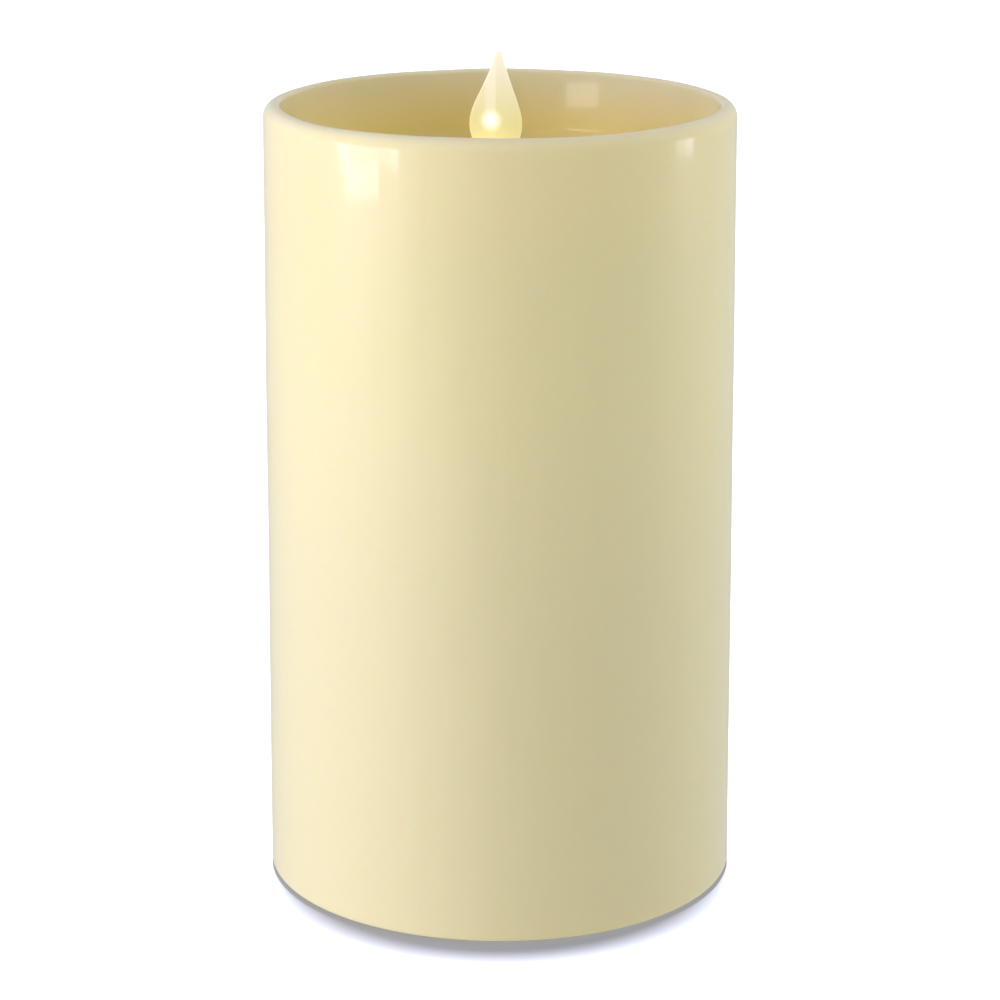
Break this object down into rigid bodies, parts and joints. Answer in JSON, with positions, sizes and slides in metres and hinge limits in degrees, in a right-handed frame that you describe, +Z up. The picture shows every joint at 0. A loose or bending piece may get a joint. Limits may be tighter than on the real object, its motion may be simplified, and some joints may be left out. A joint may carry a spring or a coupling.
{
  "type": "flameless led candle",
  "caption": "Ivory wax pillar candle without a flame: a translucent flame-shaped leaf swings in a deep recess, lit from below by a lamp, over a battery base with a hinged door.",
  "frame": {"origin": "on the surface the candle stands on, under the middle of the pillar", "axes": "+Z up along the pillar, -Y towards the front that the flame's broad face looks to, +X to the right seen from the front"},
  "size_m": [0.102, 0.102, 0.1804],
  "materials": {
    "wax": "satin, translucent ivory wax",
    "leaf": "translucent, frosted",
    "cream_plastic": "fine matt",
    "case_plastic": "matt",
    "black_plastic": "matt",
    "lens": "clear, water-white",
    "board": "solder-masked",
    "rubber": "matt",
    "steel": "bright zinc",
    "spring_steel": "nickel-plated",
    "magnet": "nickel-plated",
    "copper": "enamelled copper wire",
    "cell": "printed sleeve without marks",
    "red_lead": "vinyl insulation",
    "black_lead": "vinyl insulation",
    "yellow_lead": "vinyl insulation"
  },
  "bodies": {
    "candle": {"wax_shell": "wax", "base_housing": "cream_plastic", "foot_1": "rubber", "foot_2": "rubber", "foot_3": "rubber", "foot_4": "rubber", "battery_1": "cell", "battery_2": "cell", "contact_positive": "spring_steel", "contact_negative": "spring_steel", "contact_link": "spring_steel", "spring_negative": "spring_steel", "spring_link": "spring_steel", "switch_case": "steel", "switch_pins": "steel", "switch_screws": "steel", "support_column": "case_plastic", "column_screws": "steel", "module_case_left": "case_plastic", "module_case_right": "case_plastic", "module_screws": "steel", "case_screws": "steel", "flame_cap": "cream_plastic", "pivot_wire": "steel", "coil_bobbin": "black_plastic", "coil_winding": "copper", "circuit_board": "board", "controller_chip": "black_plastic", "capacitor": "black_plastic", "resistors": "black_plastic", "led_lamp": "lens", "led_holder": "black_plastic", "led_legs": "steel", "lead_negative": "black_lead", "lead_positive": "red_lead", "lead_switched": "yellow_lead"},
    "flame": {"flame_leaf": "leaf", "pendulum_magnet": "magnet"},
    "door": {"battery_door": "cream_plastic"},
    "switch_slider": {"switch_knob": "black_plastic"}
  },
  "joints": [
    {"name": "flame_sway", "type": "hinge", "parent": "candle", "child": "flame", "pos_m": [0, 0, 0.139], "axis": [0, 1, 0], "range_deg": [-15, 15]},
    {"name": "door_hinge", "type": "hinge", "parent": "candle", "child": "door", "pos_m": [0, 0.0334, 0.0033], "axis": [1, 0, 0], "range_deg": [0, 95]},
    {"name": "switch_slide", "type": "slide", "parent": "candle", "child": "switch_slider", "axis": [0, 1, 0], "range_m": [0, 0.008]}
  ]
}
